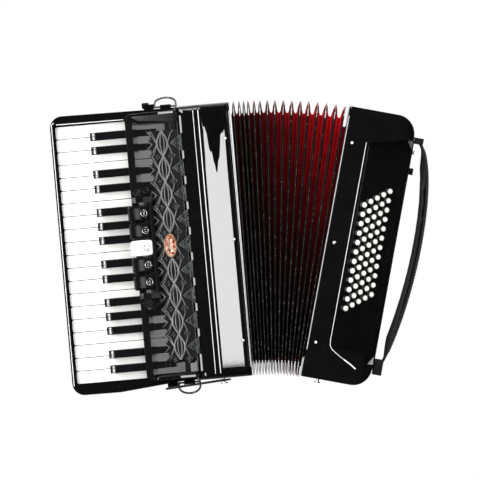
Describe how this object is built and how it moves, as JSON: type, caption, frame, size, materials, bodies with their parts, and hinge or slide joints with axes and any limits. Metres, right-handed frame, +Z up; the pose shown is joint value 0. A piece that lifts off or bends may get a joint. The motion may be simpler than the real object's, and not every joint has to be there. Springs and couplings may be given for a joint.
{
  "type": "piano accordion",
  "caption": "Piano accordion with a treble box and piano keyboard, a bellows fanned open about its lower edge, and a bass box with a sloping button board and hand strap.",
  "frame": {"origin": "middle of the lower edge of the plane where the treble box meets the bellows", "axes": "+Z up the keyboard towards the player's chin, +X from the treble box to the bass box, +Y towards the player's chest, so the front faces -Y"},
  "size_m": [0.544, 0.1892, 0.444],
  "materials": {
    "black_celluloid": "polished",
    "black_lacquer": "gloss",
    "white_celluloid": "polished white key tops",
    "black_key": "polished black",
    "spruce": "natural",
    "reed_aluminium": "milled",
    "steel": "bright",
    "spring_brass": "drawn",
    "chrome_trim": "polished",
    "speaker_cloth": "woven",
    "black_metal": "satin",
    "leather": "grained",
    "bellows_dark": "cloth tape over card",
    "bellows_red": "cloth over card",
    "ivory_plastic": "polished ivory",
    "badge_gold": "polished"
  },
  "bodies": {
    "treble": {"treble_casing": "black_celluloid", "keyboard_bed": "black_lacquer", "key_axle": "steel", "key_springs": "spring_brass", "treble_grille": "black_lacquer", "grille_cloth": "speaker_cloth", "register_rack": "black_metal", "treble_soundboard": "spruce", "treble_reed_blocks": "spruce", "treble_reed_plates": "reed_aluminium", "treble_bellows_frame": "chrome_trim", "treble_frame_pins": "chrome_trim", "strap_brackets": "black_metal", "emblem": "badge_gold", "closing_strap": "leather", "treble_strap_stud": "chrome_trim"},
    "bass": {"bass_casing": "black_celluloid", "bass_button_board": "black_lacquer", "bass_end_cover": "black_lacquer", "bass_reed_block": "spruce", "bass_machine": "reed_aluminium", "bass_bellows_frame": "chrome_trim", "bass_frame_pins": "chrome_trim", "bass_strap_brackets": "black_metal", "bass_strap": "leather", "bass_strap_stud": "chrome_trim"},
    "bellows_1": {"bellows_section_1": "bellows_dark"},
    "bellows_2": {"bellows_section_2": "bellows_dark"},
    "bellows_3": {"bellows_section_3": "bellows_dark"},
    "bellows_4": {"bellows_section_4": "bellows_dark"},
    "bellows_5": {"bellows_section_5": "bellows_dark"},
    "bellows_6": {"bellows_section_6": "bellows_red"},
    "bellows_7": {"bellows_section_7": "bellows_red"},
    "bellows_8": {"bellows_section_8": "bellows_red"},
    "key_g": {"keys_g": "white_celluloid"},
    "key_g_sharp": {"keys_g_sharp": "black_key"},
    "key_a": {"keys_a": "white_celluloid"},
    "key_a_sharp": {"keys_a_sharp": "black_key"},
    "key_b": {"keys_b": "white_celluloid"},
    "key_c": {"keys_c": "white_celluloid"},
    "key_c_sharp": {"keys_c_sharp": "black_key"},
    "key_d": {"keys_d": "white_celluloid"},
    "key_d_sharp": {"keys_d_sharp": "black_key"},
    "key_e": {"keys_e": "white_celluloid"},
    "key_f": {"keys_f": "white_celluloid"},
    "key_f_sharp": {"keys_f_sharp": "black_key"},
    "register_1": {"register_switch_1": "black_celluloid"},
    "register_2": {"register_switch_2": "black_celluloid"},
    "register_3": {"register_switch_3": "ivory_plastic"},
    "register_4": {"register_switch_4": "black_celluloid"},
    "register_5": {"register_switch_5": "black_celluloid"},
    "top_ring": {"top_strap_ring": "chrome_trim"},
    "bottom_ring": {"bottom_strap_ring": "chrome_trim"},
    "buttons_1": {"bass_buttons_1": "ivory_plastic"},
    "buttons_2": {"bass_buttons_2": "ivory_plastic"},
    "buttons_3": {"bass_buttons_3": "ivory_plastic"},
    "buttons_4": {"bass_buttons_4": "ivory_plastic"},
    "buttons_5": {"bass_buttons_5": "ivory_plastic"},
    "air": {"air_button": "ivory_plastic"},
    "adjuster": {"strap_adjuster": "steel"}
  },
  "joints": [
    {"name": "bellows_fan", "type": "hinge", "parent": "treble", "child": "bass", "pos_m": [0.0478, 0, 0], "axis": [0, 1, 0], "range_deg": [-15.3, 17.7]},
    {"name": "bellows_fold_1", "type": "hinge", "parent": "treble", "child": "bellows_1", "pos_m": [0.0032, 0, 0], "axis": [0, 1, 0], "range_deg": [-1.24, 1.43]},
    {"name": "bellows_fold_2", "type": "hinge", "parent": "bellows_1", "child": "bellows_2", "pos_m": [0.012, 0, -0.00018], "axis": [0, 1, 0], "range_deg": [-0.66, 0.76]},
    {"name": "bellows_fold_3", "type": "hinge", "parent": "bellows_2", "child": "bellows_3", "pos_m": [0.02079, 0, -0.00046], "axis": [0, 1, 0], "range_deg": [-1.24, 1.43]},
    {"name": "bellows_fold_4", "type": "hinge", "parent": "bellows_3", "child": "bellows_4", "pos_m": [0.02958, 0, -0.00092], "axis": [0, 1, 0], "range_deg": [-1.95, 2.24]},
    {"name": "bellows_fold_5", "type": "hinge", "parent": "bellows_4", "child": "bellows_5", "pos_m": [0.03835, 0, -0.00167], "axis": [0, 1, 0], "range_deg": [-2.36, 2.72]},
    {"name": "bellows_fold_6", "type": "hinge", "parent": "bellows_5", "child": "bellows_6", "pos_m": [0.04708, 0, -0.00278], "axis": [0, 1, 0], "range_deg": [-2.35, 2.71]},
    {"name": "bellows_fold_7", "type": "hinge", "parent": "bellows_6", "child": "bellows_7", "pos_m": [0.05576, 0, -0.00423], "axis": [0, 1, 0], "range_deg": [-2.54, 2.94]},
    {"name": "bellows_fold_8", "type": "hinge", "parent": "bellows_7", "child": "bellows_8", "pos_m": [0.06437, 0, -0.00606], "axis": [0, 1, 0], "range_deg": [-2.76, 3.18]},
    {"name": "key_g_press", "type": "hinge", "parent": "treble", "child": "key_g", "pos_m": [-0.118, -0.024, 0.198], "axis": [0, 0, -1], "range_deg": [0, 2.5], "stiffness_Nm_per_rad": 6, "springref_deg": -1.15},
    {"name": "key_g_sharp_press", "type": "hinge", "parent": "treble", "child": "key_g_sharp", "pos_m": [-0.118, -0.024, 0.198], "axis": [0, 0, -1], "range_deg": [0, 2.5], "stiffness_Nm_per_rad": 6, "springref_deg": -1.15},
    {"name": "key_a_press", "type": "hinge", "parent": "treble", "child": "key_a", "pos_m": [-0.118, -0.024, 0.198], "axis": [0, 0, -1], "range_deg": [0, 2.5], "stiffness_Nm_per_rad": 6, "springref_deg": -1.15},
    {"name": "key_a_sharp_press", "type": "hinge", "parent": "treble", "child": "key_a_sharp", "pos_m": [-0.118, -0.024, 0.198], "axis": [0, 0, -1], "range_deg": [0, 2.5], "stiffness_Nm_per_rad": 6, "springref_deg": -1.15},
    {"name": "key_b_press", "type": "hinge", "parent": "treble", "child": "key_b", "pos_m": [-0.118, -0.024, 0.198], "axis": [0, 0, -1], "range_deg": [0, 2.5], "stiffness_Nm_per_rad": 6, "springref_deg": -1.15},
    {"name": "key_c_press", "type": "hinge", "parent": "treble", "child": "key_c", "pos_m": [-0.118, -0.024, 0.198], "axis": [0, 0, -1], "range_deg": [0, 2.5], "stiffness_Nm_per_rad": 6, "springref_deg": -1.15},
    {"name": "key_c_sharp_press", "type": "hinge", "parent": "treble", "child": "key_c_sharp", "pos_m": [-0.118, -0.024, 0.198], "axis": [0, 0, -1], "range_deg": [0, 2.5], "stiffness_Nm_per_rad": 6, "springref_deg": -1.15},
    {"name": "key_d_press", "type": "hinge", "parent": "treble", "child": "key_d", "pos_m": [-0.118, -0.024, 0.198], "axis": [0, 0, -1], "range_deg": [0, 2.5], "stiffness_Nm_per_rad": 6, "springref_deg": -1.15},
    {"name": "key_d_sharp_press", "type": "hinge", "parent": "treble", "child": "key_d_sharp", "pos_m": [-0.118, -0.024, 0.198], "axis": [0, 0, -1], "range_deg": [0, 2.5], "stiffness_Nm_per_rad": 6, "springref_deg": -1.15},
    {"name": "key_e_press", "type": "hinge", "parent": "treble", "child": "key_e", "pos_m": [-0.118, -0.024, 0.198], "axis": [0, 0, -1], "range_deg": [0, 2.5], "stiffness_Nm_per_rad": 6, "springref_deg": -1.15},
    {"name": "key_f_press", "type": "hinge", "parent": "treble", "child": "key_f", "pos_m": [-0.118, -0.024, 0.198], "axis": [0, 0, -1], "range_deg": [0, 2.5], "stiffness_Nm_per_rad": 6, "springref_deg": -1.15},
    {"name": "key_f_sharp_press", "type": "hinge", "parent": "treble", "child": "key_f_sharp", "pos_m": [-0.118, -0.024, 0.198], "axis": [0, 0, -1], "range_deg": [0, 2.5], "stiffness_Nm_per_rad": 6, "springref_deg": -1.15},
    {"name": "register_1_rock", "type": "hinge", "parent": "treble", "child": "register_1", "pos_m": [-0.129, -0.079, 0.248], "axis": [0, 0, -1], "range_deg": [0, 8]},
    {"name": "register_2_rock", "type": "hinge", "parent": "treble", "child": "register_2", "pos_m": [-0.129, -0.079, 0.223], "axis": [0, 0, -1], "range_deg": [0, 8]},
    {"name": "register_3_rock", "type": "hinge", "parent": "treble", "child": "register_3", "pos_m": [-0.129, -0.079, 0.198], "axis": [0, 0, -1], "range_deg": [0, 8]},
    {"name": "register_4_rock", "type": "hinge", "parent": "treble", "child": "register_4", "pos_m": [-0.129, -0.079, 0.173], "axis": [0, 0, -1], "range_deg": [0, 8]},
    {"name": "register_5_rock", "type": "hinge", "parent": "treble", "child": "register_5", "pos_m": [-0.129, -0.079, 0.148], "axis": [0, 0, -1], "range_deg": [0, 8]},
    {"name": "buttons_1_press", "type": "slide", "parent": "bass", "child": "buttons_1", "axis": [-0.682, 0.7071, 0.1866], "range_m": [0, 0.0035], "stiffness_N_per_m": 120, "springref_m": -0.002},
    {"name": "buttons_2_press", "type": "slide", "parent": "bass", "child": "buttons_2", "axis": [-0.682, 0.7071, 0.1866], "range_m": [0, 0.0035], "stiffness_N_per_m": 120, "springref_m": -0.002},
    {"name": "buttons_3_press", "type": "slide", "parent": "bass", "child": "buttons_3", "axis": [-0.682, 0.7071, 0.1866], "range_m": [0, 0.0035], "stiffness_N_per_m": 120, "springref_m": -0.002},
    {"name": "buttons_4_press", "type": "slide", "parent": "bass", "child": "buttons_4", "axis": [-0.682, 0.7071, 0.1866], "range_m": [0, 0.0035], "stiffness_N_per_m": 120, "springref_m": -0.002},
    {"name": "buttons_5_press", "type": "slide", "parent": "bass", "child": "buttons_5", "axis": [-0.682, 0.7071, 0.1866], "range_m": [0, 0.0035], "stiffness_N_per_m": 120, "springref_m": -0.002},
    {"name": "air_button_press", "type": "slide", "parent": "bass", "child": "air", "axis": [-0.9646, 0, 0.2639], "range_m": [0, 0.005], "stiffness_N_per_m": 120, "springref_m": -0.002},
    {"name": "strap_adjuster_turn", "type": "hinge", "parent": "bass", "child": "adjuster", "pos_m": [0.25853, 0, 0.30417], "axis": [0.2639, 0, 0.9646], "continuous": true},
    {"name": "top_ring_swing", "type": "hinge", "parent": "treble", "child": "top_ring", "pos_m": [-0.09, 0.058, 0.4022], "axis": [1, 0, 0], "range_deg": [-20, 120]},
    {"name": "bottom_ring_swing", "type": "hinge", "parent": "treble", "child": "bottom_ring", "pos_m": [-0.09, 0.058, -0.0042], "axis": [-1, 0, 0], "range_deg": [-25, 110]}
  ],
  "couplings": [
    {"joint": "bellows_fold_1", "follows": "bellows_fan", "ratio": 0.078},
    {"joint": "bellows_fold_2", "follows": "bellows_fan", "ratio": 0.04},
    {"joint": "bellows_fold_3", "follows": "bellows_fan", "ratio": 0.078},
    {"joint": "bellows_fold_4", "follows": "bellows_fan", "ratio": 0.124},
    {"joint": "bellows_fold_5", "follows": "bellows_fan", "ratio": 0.151},
    {"joint": "bellows_fold_6", "follows": "bellows_fan", "ratio": 0.15},
    {"joint": "bellows_fold_7", "follows": "bellows_fan", "ratio": 0.163},
    {"joint": "bellows_fold_8", "follows": "bellows_fan", "ratio": 0.177}
  ]
}
